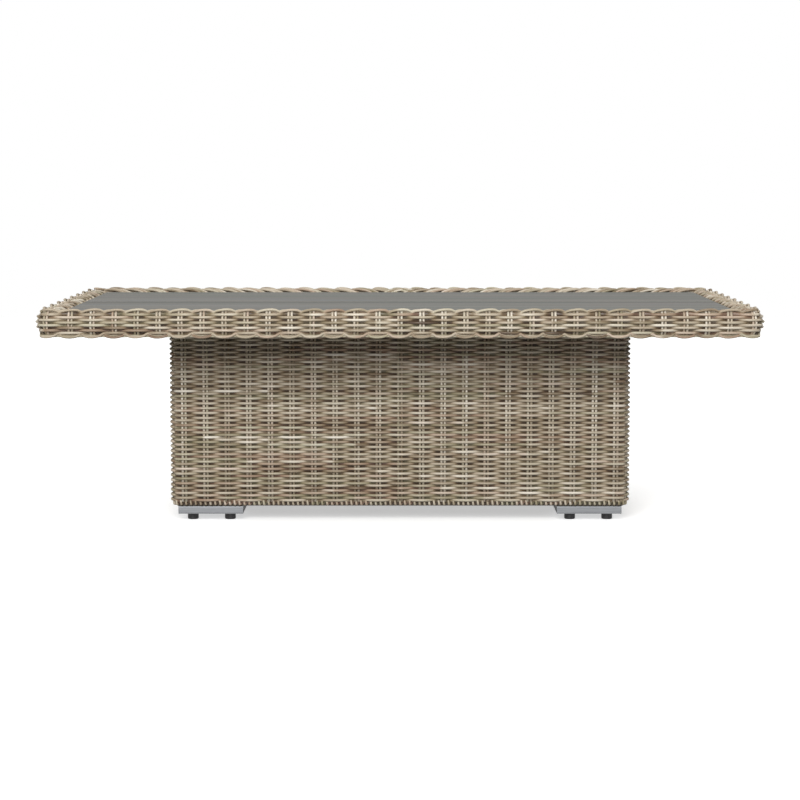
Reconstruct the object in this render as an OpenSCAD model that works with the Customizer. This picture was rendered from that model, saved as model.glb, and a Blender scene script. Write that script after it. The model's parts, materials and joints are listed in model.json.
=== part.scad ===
// Wicker coffee table: a box-shaped woven base on four aluminium feet with screw-in
// levelling glides, under a wide top whose woven rim frames two wood-effect boards.
// Millimetres, +Z up, origin on the floor under the middle of the table, +X along its length.

/* [Top] */
// Length of the top over the weave
top_length = 1400; // [1200:10:1600]
// Width of the top over the weave
top_width = 800; // [700:10:900]
// Height of the top of the rim above the floor
table_height = 440; // [400:5:500]
// Height of the woven rim
rim_height = 56.5; // [54:0.5:70]
// Outside corner radius of the rim
rim_corner_r = 32; // [22:1:34]
// How far the boards lie below the top of the rim
board_drop = 9.5; // [8:0.5:12]
// Thickness of the boards
board_thick = 12; // [10:1:16]
// Gap between the two boards
board_gap = 3.5; // [1:0.5:6]

/* [Base] */
// Length of the base over the weave
base_length = 924; // [800:1:1000]
// Width of the base over the weave
base_width = 390; // [340:5:500]

/* [Weave] */
// Thickness of the base weave: a strand behind, a stake and a strand in front
weave_thick = 14; // [12:1:16]
// Thickness of the rim weave, which bulges at mid height
rim_thick = 18; // [16:1:22]
// Diameter of one strand
strand_d = 5; // [4:0.5:6]
// Height of the braid over the top of the rim
braid_h = 12; // [8:0.5:13]

/* [Frame] */
// Side of the square tubes of the base
tube = 25; // [20:1:30]
// Width of the tubes around the top
top_tube = 26; // [24:1:35]
// Wall of the tubes
tube_wall = 2; // [1.5:0.5:3]
// Height of the bearers under the boards
bearer_h = 30; // [25:1:35]

/* [Feet] */
// Length and width of a foot
foot_side = 130; // [110:5:150]
// Height of a foot
foot_h = 16.5; // [15:0.5:22]
// Wall of a foot
foot_wall = 3; // [2:0.5:4]
// How far a foot stands in from the weave of the long sides
foot_inset = 12; // [8:1:20]
// How far a foot stands in from the weave of the ends
foot_end_inset = 16.5; // [8:0.5:20]
// Diameter of a glide's pad
pad_d = 22; // [18:1:30]
// Height of a glide's pad
pad_h = 13.5; // [8:0.5:14]
// Distance between the two glides of a foot
pad_pitch = 75; // [60:5:80]

/* [Hidden] */

$fn = 48;

// Heights above the floor
foot_bottom = pad_h;
foot_top = foot_bottom + foot_h;
board_top = table_height - board_drop;
board_bottom = board_top - board_thick;
bearer_bottom = board_bottom - bearer_h;
rim_bottom = table_height - rim_height;
top_rail_bottom = rim_bottom + strand_d;
top_rail_top = board_top - 4;
top_rail_edge_r = 5;
upper_rail_bottom = bearer_bottom - tube;
binding_gap = 1;
binding_h = 12.5;
binding_inset = 5;
binding_bottom = foot_top + binding_gap;
binding_top = binding_bottom + binding_h;
base_weave_top = bearer_bottom - 0.5;
braid_top = top_rail_top + braid_h;

// Half sizes in plan
top_x = top_length / 2;
top_y = top_width / 2;
braid_overhang = 5;
rail_out_x = top_x - rim_thick;
rail_out_y = top_y - rim_thick;
rail_in_x = rail_out_x - top_tube;
rail_in_y = rail_out_y - top_tube;
braid_in_x = rail_in_x - braid_overhang;
braid_in_y = rail_in_y - braid_overhang;
board_clear = 1;
board_x = braid_in_x - board_clear;
board_y = braid_in_y - board_clear;
base_x = base_length / 2;
base_y = base_width / 2;
skin_clear = 0.5;
post_out_x = base_x - weave_thick - skin_clear;
post_out_y = base_y - weave_thick - skin_clear;
post_in_x = post_out_x - tube;
post_in_y = post_out_y - tube;
foot_x = base_x - foot_end_inset - foot_side / 2;
foot_y = base_y - foot_inset - foot_side / 2;
foot_corner_r = 3;
plug_depth = 10;
plug_recess = 0.4;
plug_clear = 0.05;

// Glides: the pad clips over a collar on the stud, and the stud screws into the foot
stud_r = 4;
running = 0.05;
collar_r = 7;
collar_bottom = 3;
collar_top = 7.5;
stud_top = foot_top - foot_wall - 0.5;
insert_r = 6.5;
insert_flange_r = 9;
insert_flange_h = 1.2;
insert_top = foot_bottom + 12;
pad_edge_r = 2;
pad_y = base_y - foot_inset - 27.5;
glides = [for (sy = [-1, 1]) for (sx = [-1, 1]) for (end = [-1, 1])
    [sx * foot_x + end * pad_pitch / 2, sy * pad_y]];

// Fasteners
bearer_x = [-600, -300, 0, 300, 600];
bolt_x = [-300, 300];
bolt_y = (post_out_y + post_in_y) / 2;
bolt_r = 3;
bolt_head_r = 5;
bolt_head_h = 4;
bolt_end = bearer_bottom + 10;
bolt_insert_r = 4.5;
bolt_insert_top = bearer_bottom + 11.5;
bolt_flange_r = 6.5;
bolt_flange_h = 1;
screw_y = [-280, -80, 80, 280];
screw_r = 2;
screw_head_r = 4;
screw_head_h = 3;
screw_bite = 8;
hole_clear = 0.25;

wicker_colour = [0.69, 0.63, 0.54];
braid_colour = [0.76, 0.70, 0.62];
board_colour = [0.51, 0.52, 0.49];
foot_colour = [0.72, 0.73, 0.74];
tube_colour = [0.60, 0.58, 0.54];
pad_colour = [0.06, 0.06, 0.06];
steel_colour = [0.78, 0.78, 0.76];

// A box from one corner to the opposite one
module span(low, high) {
    translate(low) cube(high - low);
}

// A cylinder standing on z0 and ending at z1
module rod(r, z0, z1) {
    translate([0, 0, z0]) cylinder(r = r, h = z1 - z0);
}

// A square tube along X, open at both ends
module tube_x(length, width, height) {
    translate([-length / 2, 0, 0])
        rotate([90, 0, 90])
            linear_extrude(length)
                difference() {
                    translate([-width / 2, 0]) square([width, height]);
                    translate([-width / 2 + tube_wall, tube_wall])
                        square([width - 2 * tube_wall, height - 2 * tube_wall]);
                }
}

// A square tube standing on the origin
module tube_z(height) {
    linear_extrude(height)
        difference() {
            square(tube, center = true);
            square(tube - 2 * tube_wall, center = true);
        }
}

// A rectangle with round corners, centred
module round_rect(half_x, half_y, r) {
    square([2 * half_x, 2 * (half_y - r)], center = true);
    square([2 * (half_x - r), 2 * half_y], center = true);
    for (sx = [-1, 1])
        for (sy = [-1, 1])
            translate([sx * (half_x - r), sy * (half_y - r)]) circle(r = r);
}

// The part of the plan that belongs to one side of the rim: 0 front, 1 right, 2 back, 3 left,
// cut at 45 degrees through the corners
module mitre(side) {
    reach = 30;
    d = top_x - top_y;
    ends = [[-top_x - reach, -top_y - reach], [top_x + reach, -top_y - reach],
            [top_x + reach, top_y + reach], [-top_x - reach, top_y + reach]];
    ridge = [[-d, 0], [d, 0], [d, 0], [-d, 0]];
    next = (side + 1) % 4;
    if (side % 2 == 0)
        polygon([ends[side], ends[next], ridge[next], ridge[side]]);
    else
        polygon([ends[side], ends[next], ridge[side]]);
}

// ---- Glides and feet ----

module glide_pad(place) {
    color(pad_colour)
        translate([place[0], place[1], 0])
            rotate_extrude()
                difference() {
                    union() {
                        translate([0, pad_edge_r]) square([pad_d / 2, pad_h - pad_edge_r]);
                        square([pad_d / 2 - pad_edge_r, pad_edge_r]);
                        translate([pad_d / 2 - pad_edge_r, pad_edge_r])
                            intersection() {
                                circle(r = pad_edge_r);
                                translate([0, -pad_edge_r]) square(pad_edge_r);
                            }
                    }
                    translate([0, collar_bottom])
                        square([collar_r + running, collar_top - collar_bottom]);
                    translate([0, collar_top]) square([stud_r + running, pad_h - collar_top]);
                }
}

module glide_stud(place) {
    color(steel_colour)
        translate([place[0], place[1], 0]) {
            rod(collar_r, collar_bottom + running, collar_top - running);
            rod(stud_r, collar_top - running, stud_top);
        }
}

// A foot is a length of flat tube along X, drilled underneath for its two inserts
module foot(sx, sy) {
    color(foot_colour)
        difference() {
            translate([sx * foot_x - foot_side / 2, sy * foot_y, foot_bottom + foot_h / 2])
                rotate([90, 0, 90])
                    linear_extrude(foot_side)
                        difference() {
                            round_rect(foot_side / 2, foot_h / 2, foot_corner_r);
                            foot_bore_section(0);
                        }
            for (place = glides)
                translate([place[0], place[1], 0])
                    rod(insert_r + running, foot_bottom - 1, foot_bottom + foot_wall + 1);
        }
}

// The inside of a foot's tube in section, made smaller all round by clear
module foot_bore_section(clear) {
    square([foot_side - 2 * foot_wall - 2 * clear, foot_h - 2 * foot_wall - 2 * clear], center = true);
}

// The plastic plugs in the ends of the feet
module foot_plugs() {
    color(pad_colour)
        for (sx = [-1, 1])
            for (sy = [-1, 1])
                for (end = [-1, 1])
                    translate([sx * foot_x, sy * foot_y, foot_bottom + foot_h / 2])
                        mirror([end < 0 ? 1 : 0, 0, 0])
                            translate([foot_side / 2 - plug_recess - plug_depth, 0, 0])
                                rotate([90, 0, 90])
                                    linear_extrude(plug_depth) foot_bore_section(plug_clear);
}

module foot_inserts() {
    seat = foot_bottom + foot_wall;
    color(steel_colour)
        for (place = glides)
            translate([place[0], place[1], 0])
                difference() {
                    union() {
                        rod(insert_r, foot_bottom, insert_top);
                        rod(insert_flange_r, seat, seat + insert_flange_h);
                    }
                    rod(stud_r + running, foot_bottom - 1, insert_top + 1);
                }
}

// ---- Base frame ----

module post(sx, sy) {
    color(tube_colour)
        translate([sx * (post_in_x + tube / 2), sy * (post_in_y + tube / 2), foot_top])
            tube_z(bearer_bottom - foot_top);
}

module stile(sy) {
    color(tube_colour)
        translate([0, sy * (post_in_y + tube / 2), foot_top + tube])
            tube_z(upper_rail_bottom - foot_top - tube);
}

module rail_long(sy, z) {
    color(tube_colour)
        translate([0, sy * (post_in_y + tube / 2), z]) tube_x(2 * post_in_x, tube, tube);
}

module rail_short(sx, z) {
    color(tube_colour)
        translate([sx * (post_in_x + tube / 2), 0, z])
            rotate([0, 0, 90]) tube_x(2 * post_in_y, tube, tube);
}

// An upper long rail, drilled for the bolts that hold the top down
module upper_rail_long(sy) {
    difference() {
        rail_long(sy, upper_rail_bottom);
        for (x = bolt_x)
            translate([x, sy * bolt_y, 0])
                rod(bolt_r + hole_clear, upper_rail_bottom - 1, bearer_bottom + 1);
    }
}

// ---- Base weave ----

module base_weave_long(sy, z0, z1) {
    color(wicker_colour)
        span([-base_x, sy > 0 ? base_y - weave_thick : -base_y, z0],
             [base_x, sy > 0 ? base_y : -base_y + weave_thick, z1]);
}

module base_weave_short(sx, z0, z1) {
    color(wicker_colour)
        span([sx > 0 ? base_x - weave_thick : -base_x, -base_y + weave_thick, z0],
             [sx > 0 ? base_x : -base_x + weave_thick, base_y - weave_thick, z1]);
}

// A thin ring that stands in from the faces of the weave above it
module base_edge_binding() {
    out_x = base_x - binding_inset;
    out_y = base_y - binding_inset;
    in_x = base_x - weave_thick;
    in_y = base_y - weave_thick;
    color(wicker_colour)
        difference() {
            span([-out_x, -out_y, binding_bottom], [out_x, out_y, binding_top]);
            span([-in_x, -in_y, binding_bottom - 1], [in_x, in_y, binding_top + 1]);
        }
}

// ---- Top frame ----

// A rail around the top: a tube along X with round edges
module top_rail(length) {
    height = top_rail_top - top_rail_bottom;
    color(tube_colour)
        translate([-length / 2, 0, top_rail_bottom + height / 2])
            rotate([90, 0, 90])
                linear_extrude(length)
                    difference() {
                        round_rect(top_tube / 2, height / 2, top_rail_edge_r);
                        round_rect(top_tube / 2 - tube_wall, height / 2 - tube_wall,
                                   top_rail_edge_r - tube_wall);
                    }
}

module top_rail_long(sy) {
    translate([0, sy * (rail_in_y + top_tube / 2), 0]) top_rail(2 * rail_out_x);
}

module top_rail_short(sx) {
    translate([sx * (rail_in_x + top_tube / 2), 0, 0]) rotate([0, 0, 90]) top_rail(2 * rail_in_y);
}

module bearer(x) {
    color(tube_colour)
        difference() {
            translate([x, 0, bearer_bottom]) rotate([0, 0, 90]) tube_x(2 * rail_in_y, tube, bearer_h);
            for (y = screw_y)
                translate([x, y, 0]) rod(screw_r + hole_clear, bearer_bottom - 1, board_bottom + 1);
            for (y = [-bolt_y, bolt_y])
                if (len(search(x, bolt_x)) > 0)
                    translate([x, y, 0])
                        rod(bolt_insert_r + running, bearer_bottom - 1, bearer_bottom + tube_wall + 1);
        }
}

// ---- Rim weave ----

// One side of the rim: the outside band and a strip under the rail
module rim_weave(side) {
    color(wicker_colour)
        intersection() {
            union() {
                difference() {
                    translate([0, 0, rim_bottom])
                        linear_extrude(rim_height) round_rect(top_x, top_y, rim_corner_r);
                    span([-rail_out_x, -rail_out_y, rim_bottom - 1],
                         [rail_out_x, rail_out_y, table_height + 1]);
                }
                difference() {
                    span([-rail_out_x, -rail_out_y, rim_bottom],
                         [rail_out_x, rail_out_y, top_rail_bottom]);
                    span([-rail_in_x, -rail_in_y, rim_bottom - 1],
                         [rail_in_x, rail_in_y, top_rail_bottom + 1]);
                }
            }
            translate([0, 0, rim_bottom - 1]) linear_extrude(rim_height + 2) mitre(side);
        }
}

// The braided border that lies over the rails, from the outside band to the boards
module border_braid() {
    color(braid_colour)
        difference() {
            span([-rail_out_x, -rail_out_y, top_rail_top], [rail_out_x, rail_out_y, braid_top]);
            span([-braid_in_x, -braid_in_y, top_rail_top - 1], [braid_in_x, braid_in_y, braid_top + 1]);
        }
}

// ---- Boards ----

// A board along X with its top edges eased, drilled from below for its screws
module board(sy) {
    ease = 1;
    joint_ease = 2.5;
    near = board_gap / 2;
    color(board_colour)
        difference() {
            translate([-board_x, 0, 0])
                rotate([90, 0, 90])
                    linear_extrude(2 * board_x)
                        mirror([sy < 0 ? 1 : 0, 0])
                            polygon([[near, board_bottom], [board_y, board_bottom],
                                     [board_y, board_top - ease], [board_y - ease, board_top],
                                     [near + joint_ease, board_top], [near, board_top - joint_ease]]);
            for (x = bearer_x)
                for (y = screw_y)
                    if (y * sy > 0)
                        translate([x, y, 0])
                            rod(screw_r + running, board_bottom - 1, board_bottom + screw_bite + 0.5);
        }
}

// ---- Fasteners ----

module board_screws() {
    color(steel_colour)
        for (x = bearer_x)
            for (y = screw_y)
                translate([x, y, 0]) {
                    rod(screw_head_r, bearer_bottom - screw_head_h, bearer_bottom);
                    rod(screw_r, bearer_bottom, board_bottom + screw_bite);
                }
}

module top_bolts() {
    color(steel_colour)
        for (x = bolt_x)
            for (y = [-bolt_y, bolt_y])
                translate([x, y, 0]) {
                    rod(bolt_head_r, upper_rail_bottom - bolt_head_h, upper_rail_bottom);
                    rod(bolt_r, upper_rail_bottom, bolt_end);
                }
}

module top_inserts() {
    seat = bearer_bottom + tube_wall;
    color(steel_colour)
        for (x = bolt_x)
            for (y = [-bolt_y, bolt_y])
                translate([x, y, 0])
                    difference() {
                        union() {
                            rod(bolt_insert_r, bearer_bottom, bolt_insert_top);
                            rod(bolt_flange_r, seat, seat + bolt_flange_h);
                        }
                        rod(bolt_r + running, bearer_bottom - 1, bolt_insert_top + 1);
                    }
}

for (k = [1:8]) {
    glide_pad(glides[k - 1]);
    glide_stud(glides[k - 1]);
}
foot(-1, -1);  // foot_front_left
foot(1, -1);  // foot_front_right
foot(-1, 1);  // foot_back_left
foot(1, 1);  // foot_back_right
foot_plugs();
foot_inserts();
post(-1, -1);  // post_front_left
post(1, -1);  // post_front_right
post(-1, 1);  // post_back_left
post(1, 1);  // post_back_right
stile(-1);  // stile_front
stile(1);  // stile_back
rail_long(-1, foot_top);  // lower_rail_front
rail_long(1, foot_top);  // lower_rail_back
rail_short(-1, foot_top);  // lower_rail_left
rail_short(1, foot_top);  // lower_rail_right
upper_rail_long(-1);  // upper_rail_front
upper_rail_long(1);  // upper_rail_back
rail_short(-1, upper_rail_bottom);  // upper_rail_left
rail_short(1, upper_rail_bottom);  // upper_rail_right
base_weave_long(-1, binding_top, base_weave_top);  // base_weave_front
base_weave_long(1, binding_top, base_weave_top);  // base_weave_back
base_weave_short(-1, binding_top, base_weave_top);  // base_weave_left
base_weave_short(1, binding_top, base_weave_top);  // base_weave_right
base_edge_binding();
top_rail_long(-1);  // top_rail_front
top_rail_long(1);  // top_rail_back
top_rail_short(-1);  // top_rail_left
top_rail_short(1);  // top_rail_right
for (k = [1:5])
    bearer(bearer_x[k - 1]);
rim_weave(0);  // rim_weave_front
rim_weave(1);  // rim_weave_right
rim_weave(2);  // rim_weave_back
rim_weave(3);  // rim_weave_left
border_braid();
board(-1);  // board_front
board(1);  // board_back
board_screws();
top_bolts();
top_inserts();
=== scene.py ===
"""Looks of a wicker coffee table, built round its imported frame.

Every strand of the weave is a tube of its own shape, carried along a path that is worked out with
numpy. The feet, glides, boards and frame tubes are the CAD nodes with finishes of their own.
Lengths are in metres unless a name ends in _mm.
"""

import json
import logging
import math
from dataclasses import dataclass, field
from enum import Enum
from typing import Any, Sequence

import bpy
import numpy as np
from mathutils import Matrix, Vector

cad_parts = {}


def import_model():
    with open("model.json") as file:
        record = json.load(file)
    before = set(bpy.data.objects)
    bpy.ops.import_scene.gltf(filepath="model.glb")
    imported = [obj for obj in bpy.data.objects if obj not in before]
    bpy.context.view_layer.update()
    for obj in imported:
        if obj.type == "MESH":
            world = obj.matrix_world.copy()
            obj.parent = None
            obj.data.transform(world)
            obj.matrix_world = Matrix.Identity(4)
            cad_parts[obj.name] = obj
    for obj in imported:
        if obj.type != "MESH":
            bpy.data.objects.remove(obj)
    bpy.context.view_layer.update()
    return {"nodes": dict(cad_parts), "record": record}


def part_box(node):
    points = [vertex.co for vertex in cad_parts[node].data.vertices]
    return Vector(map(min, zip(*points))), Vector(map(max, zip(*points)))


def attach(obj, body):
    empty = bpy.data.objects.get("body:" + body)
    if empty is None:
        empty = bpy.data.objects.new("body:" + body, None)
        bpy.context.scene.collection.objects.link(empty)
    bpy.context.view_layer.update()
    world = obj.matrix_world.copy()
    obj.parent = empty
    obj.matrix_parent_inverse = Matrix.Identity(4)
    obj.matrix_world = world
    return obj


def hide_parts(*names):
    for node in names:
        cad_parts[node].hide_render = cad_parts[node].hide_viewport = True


LOG = logging.getLogger("wicker_coffee_table")
MM = 0.001
UP = np.array([0.0, 0.0, 1.0])


# ---- Colours and nodes ----


def linear(hex_colour: str) -> tuple[float, float, float, float]:
    """Turn an sRGB hex value into a linear colour.

    Each channel is c / 12.92 in the darkest part, and ((c + 0.055) / 1.055) to the power 2.4 above it.

    Args:
        hex_colour: six hex digits with a leading #.

    Returns:
        Linear red, green, blue and an alpha of 1.
    """
    channels = [int(hex_colour[i : i + 2], 16) / 255 for i in (1, 3, 5)]
    red, green, blue = (
        c / 12.92 if c <= 0.04045 else ((c + 0.055) / 1.055) ** 2.4 for c in channels
    )
    return red, green, blue, 1.0


def add_node(
    tree: bpy.types.NodeTree,
    kind: str,
    settings: dict[str, Any] | None = None,
    inputs: dict[str | int, Any] | None = None,
) -> bpy.types.Node:
    """Add one node with its settings, and set or link its inputs.

    Args:
        tree: the node tree that gets the node.
        kind: the node's type name.
        settings: attributes of the node itself.
        inputs: a value or an output socket for each input, by name or number.

    Returns:
        The new node.
    """
    node = tree.nodes.new(kind)
    for name, value in (settings or {}).items():
        setattr(node, name, value)
    for name, value in (inputs or {}).items():
        if isinstance(value, bpy.types.NodeSocket):
            tree.links.new(value, node.inputs[name])
        else:
            node.inputs[name].default_value = value
    return node


def add_ramp(
    tree: bpy.types.NodeTree, factor: bpy.types.NodeSocket, stops: Sequence[tuple[float, str]]
) -> bpy.types.NodeSocket:
    """Add a colour ramp through the given stops.

    Args:
        tree: the node tree that gets the ramp.
        factor: the socket that says where on the ramp to read.
        stops: position and hex colour of each stop, in order.

    Returns:
        The ramp's colour socket.
    """
    ramp = add_node(tree, "ShaderNodeValToRGB", inputs={"Fac": factor})
    elements = ramp.color_ramp.elements
    while len(elements) < len(stops):
        elements.new(0.5)
    for element, (position, colour) in zip(elements, stops):
        element.position = position
        element.color = linear(colour)
    return ramp.outputs["Color"]


def add_noise(
    tree: bpy.types.NodeTree,
    where: bpy.types.NodeSocket,
    size_mm: float,
    squeeze: tuple[float, float, float],
    detail: float,
    roughness: float = 0.5,
) -> bpy.types.NodeSocket:
    """Add a noise pattern of a real size.

    Args:
        tree: the node tree that gets the pattern.
        where: coordinates in metres.
        size_mm: size of the pattern's coarsest marks.
        squeeze: how much each coordinate is squeezed, so that 0.1 draws marks out ten times longer.
        detail: how many finer layers the pattern has.
        roughness: how strong the finer layers are.

    Returns:
        The pattern's value socket.
    """
    drawn = add_node(tree, "ShaderNodeMapping", inputs={"Vector": where, "Scale": squeeze})
    noise = add_node(
        tree,
        "ShaderNodeTexNoise",
        inputs={
            "Vector": drawn.outputs["Vector"],
            "Scale": 1 / (size_mm * MM),
            "Detail": detail,
            "Roughness": roughness,
        },
    )
    return noise.outputs["Fac"]


def mix_colours(
    tree: bpy.types.NodeTree,
    amount: bpy.types.NodeSocket | float,
    under: bpy.types.NodeSocket,
    over: bpy.types.NodeSocket | tuple[float, float, float, float],
    blend: str = "MIX",
) -> bpy.types.NodeSocket:
    """Mix two colours.

    Args:
        tree: the node tree that gets the mix.
        amount: how much of the second colour shows.
        under: the first colour.
        over: the second colour.
        blend: Blender's name for the way of mixing.

    Returns:
        The mixed colour's socket.
    """
    settings = {"data_type": "RGBA", "blend_type": blend}
    return add_node(tree, "ShaderNodeMix", settings, {0: amount, 6: under, 7: over}).outputs[2]


def remap(
    tree: bpy.types.NodeTree,
    value: bpy.types.NodeSocket,
    source: tuple[float, float],
    target: tuple[float, float] = (0.0, 1.0),
) -> bpy.types.NodeSocket:
    """Carry one range of values over to another, and stop at its ends.

    Args:
        tree: the node tree that gets the range.
        value: the value to carry over.
        source: the range that it comes from.
        target: the range that it goes to.

    Returns:
        The new value's socket.
    """
    limits = {"From Min": source[0], "From Max": source[1], "To Min": target[0], "To Max": target[1]}
    return add_node(tree, "ShaderNodeMapRange", inputs={"Value": value, **limits}).outputs["Result"]


def scaled_sum(
    tree: bpy.types.NodeTree,
    value: bpy.types.NodeSocket,
    scale: float,
    plus: bpy.types.NodeSocket | float,
) -> bpy.types.NodeSocket:
    """Multiply a value by a number, and add something to it.

    Args:
        tree: the node tree that gets the sum.
        value: the value to multiply.
        scale: what it is multiplied by.
        plus: what is added.

    Returns:
        The sum's socket.
    """
    settings = {"operation": "MULTIPLY_ADD"}
    return add_node(tree, "ShaderNodeMath", settings, {0: value, 1: scale, 2: plus}).outputs[0]


def cover(
    tree: bpy.types.NodeTree,
    shader: bpy.types.Node,
    colour: bpy.types.NodeSocket,
    relief: bpy.types.NodeSocket,
    strength: float,
    depth_mm: float,
) -> None:
    """Give a shader its colour and a fine relief.

    Args:
        tree: the shader's node tree.
        shader: the Principled shader.
        colour: the colour's socket.
        relief: the pattern whose value is the height of the relief.
        strength: how much of the relief shows.
        depth_mm: the relief's real depth.
    """
    sizes = {"Strength": strength, "Distance": depth_mm * MM}
    bump = add_node(tree, "ShaderNodeBump", inputs={"Height": relief, **sizes})
    tree.links.new(colour, shader.inputs["Base Color"])
    tree.links.new(bump.outputs["Normal"], shader.inputs["Normal"])


def new_material(name: str) -> tuple[bpy.types.Material, bpy.types.NodeTree, bpy.types.Node]:
    """Make an empty node material with a Principled shader.

    Args:
        name: the material's name.

    Returns:
        The material, its node tree and its shader.
    """
    material = bpy.data.materials.new(name)
    material.use_nodes = True
    tree = material.node_tree
    tree.nodes.clear()
    shader = add_node(tree, "ShaderNodeBsdfPrincipled")
    add_node(tree, "ShaderNodeOutputMaterial", inputs={"Surface": shader.outputs["BSDF"]})
    return material, tree, shader


@dataclass(frozen=True)
class WickerFinish:
    """Round polyethylene strand, extruded with a drawn grain, in mixed weathered willow colours.

    The strands differ a little from each other, each changes slowly along its length, and fine
    lengthwise streaks give the eye a natural cane. The extruded skin has a soft sheen.
    """

    name: str = "polyethylene_wicker_strand"
    tones: tuple[tuple[float, str], ...] = (
        (0.0, "#4A3827"),
        (0.2, "#7E6B52"),
        (0.5, "#AEA08A"),
        (0.75, "#C9BEAB"),
        (1.0, "#E6DECF"),
    )
    warm: str = "#B48F7C"
    green: str = "#9A9B78"
    streak_mm: float = 1.4
    streak_squeeze: float = 0.025
    streak_depth_mm: float = 0.3
    streak_contrast: float = 0.7
    change_mm: float = 70.0
    change_contrast: float = 0.9
    tint_strength: float = 0.3

    def make(self) -> bpy.types.Material:
        """Make the material, which reads the strands' attributes.

        Returns:
            The material.
        """
        material, tree, shader = new_material(self.name)
        grain = add_node(tree, "ShaderNodeAttribute", {"attribute_name": "grain"}).outputs["Vector"]
        tone = add_node(tree, "ShaderNodeAttribute", {"attribute_name": "tone"}).outputs["Fac"]
        tint = add_node(tree, "ShaderNodeAttribute", {"attribute_name": "tint"}).outputs["Fac"]
        slow = add_noise(tree, grain, self.change_mm, (1.0, 1.0, 1.0), 2.0)
        squeeze = (self.streak_squeeze, 1.0, 1.0)
        streaks = add_noise(tree, grain, self.streak_mm, squeeze, 3.0, 0.65)
        # Both patterns lie round 0.5, so half of each one's contrast is taken off the tone again
        lowered = scaled_sum(tree, tone, 1.0, -(self.change_contrast + self.streak_contrast) / 2)
        changing = scaled_sum(tree, slow, self.change_contrast, lowered)
        streaked = scaled_sum(tree, streaks, self.streak_contrast, changing)
        colour = add_ramp(tree, streaked, self.tones)
        for hue, low, high in ((self.warm, 0.72, 0.95), (self.green, 0.28, 0.05)):
            amount = remap(tree, tint, (low, high), (0.0, self.tint_strength))
            colour = mix_colours(tree, amount, colour, linear(hue))
        cover(tree, shader, colour, streaks, 0.35, self.streak_depth_mm)
        shader.inputs["Roughness"].default_value = 0.42
        shader.inputs["IOR"].default_value = 1.5
        return material


@dataclass(frozen=True)
class BoardFinish:
    """Grey foamed-polymer board with an embossed, brushed wood grain that runs its whole length.

    The grain gives the eye long thin light and dark lines on a matt grey with faint brown, green and
    blue bands. Along the joint between the boards a darker band of painted shade lies on the front side,
    and a lighter band of painted highlight lies behind it.
    """

    name: str = "embossed_grey_polymer_board"
    bands: tuple[tuple[float, str], ...] = (
        (0.32, "#70766F"),
        (0.42, "#787A73"),
        (0.5, "#7D7B74"),
        (0.58, "#7F7B75"),
        (0.68, "#75797A"),
    )
    band_mm: float = 38.0
    band_squeeze: float = 0.06
    grain_mm: float = 14.0
    grain_squeeze: float = 0.012
    grain_depth_mm: float = 0.4
    grain_strength: float = 0.4
    grain_tones: tuple[tuple[float, str], ...] = (
        (0.34, "#8C8C8C"),
        (0.42, "#C8C8C8"),
        (0.5, "#E8E8E8"),
        (0.6, "#FFFFFF"),
    )
    joint_reach_mm: float = 60.0
    # Painted shade and painted highlight beside the joint between the boards
    joint_shade_and_highlight: tuple[tuple[float, str], ...] = (
        (0.08, "#F2F2F2"),
        (0.14, "#C6C6C6"),
        (0.38, "#C6C6C6"),
        (0.44, "#FFFFFF"),
        (0.7, "#FFFFFF"),
        (0.8, "#F2F2F2"),
    )

    def make(self) -> bpy.types.Material:
        """Make the material, whose grain runs along X.

        Returns:
            The material.
        """
        material, tree, shader = new_material(self.name)
        where = add_node(tree, "ShaderNodeTexCoord").outputs["Object"]
        bands = add_noise(tree, where, self.band_mm, (self.band_squeeze, 1.0, 1.0), 2.0, 0.6)
        grain = add_noise(tree, where, self.grain_mm, (self.grain_squeeze, 1.0, 1.0), 4.0, 0.6)
        colour = add_ramp(tree, bands, self.bands)
        lines = add_ramp(tree, grain, self.grain_tones)
        colour = mix_colours(tree, self.grain_strength, colour, lines, "MULTIPLY")
        # Painted shade on the front side of the joint between the boards, and a painted highlight behind
        # it
        across = add_node(tree, "ShaderNodeSeparateXYZ", inputs={"Vector": where}).outputs["Y"]
        reach = self.joint_reach_mm * MM
        joint_shading = add_ramp(tree, remap(tree, across, (-reach, reach)), self.joint_shade_and_highlight)
        colour = mix_colours(tree, 1.0, colour, joint_shading, "MULTIPLY")
        cover(tree, shader, colour, grain, 0.3, self.grain_depth_mm)
        rough = remap(tree, grain, (0.3, 0.7), (0.62, 0.5))
        tree.links.new(rough, shader.inputs["Roughness"])
        shader.inputs["IOR"].default_value = 1.49
        return material


class SurfaceWork(Enum):
    """How a plain part's surface was made, with the way its fine marks run."""

    DRAWN_ALONG_X = (0.02, 1.0, 1.0)
    GRAINED = (1.0, 1.0, 1.0)


@dataclass(frozen=True)
class PlainFinish:
    """A finish of one material whose colour and gloss vary a little with its fine surface marks."""

    name: str
    dark: str
    light: str
    metallic: float
    roughness: tuple[float, float]
    marks_mm: float
    depth_mm: float
    work: SurfaceWork

    def make(self) -> bpy.types.Material:
        """Make the material from one field of fine marks.

        Returns:
            The material.
        """
        material, tree, shader = new_material(self.name)
        where = add_node(tree, "ShaderNodeTexCoord").outputs["Object"]
        marks = add_noise(tree, where, self.marks_mm, self.work.value, 3.0)
        colour = add_ramp(tree, marks, ((0.3, self.dark), (0.7, self.light)))
        cover(tree, shader, colour, marks, 0.25, self.depth_mm)
        rough = remap(tree, marks, (0.3, 0.7), self.roughness)
        tree.links.new(rough, shader.inputs["Roughness"])
        shader.inputs["Metallic"].default_value = self.metallic
        return material


# Anodised aluminium, extruded and brushed lengthwise: a soft grey sheen with faint lines
FOOT_ALUMINIUM = PlainFinish(
    "brushed_anodised_aluminium", "#7E8083", "#8C8E91", 1.0, (0.42, 0.54), 1.2, 0.05,
    SurfaceWork.DRAWN_ALONG_X,
)
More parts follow.
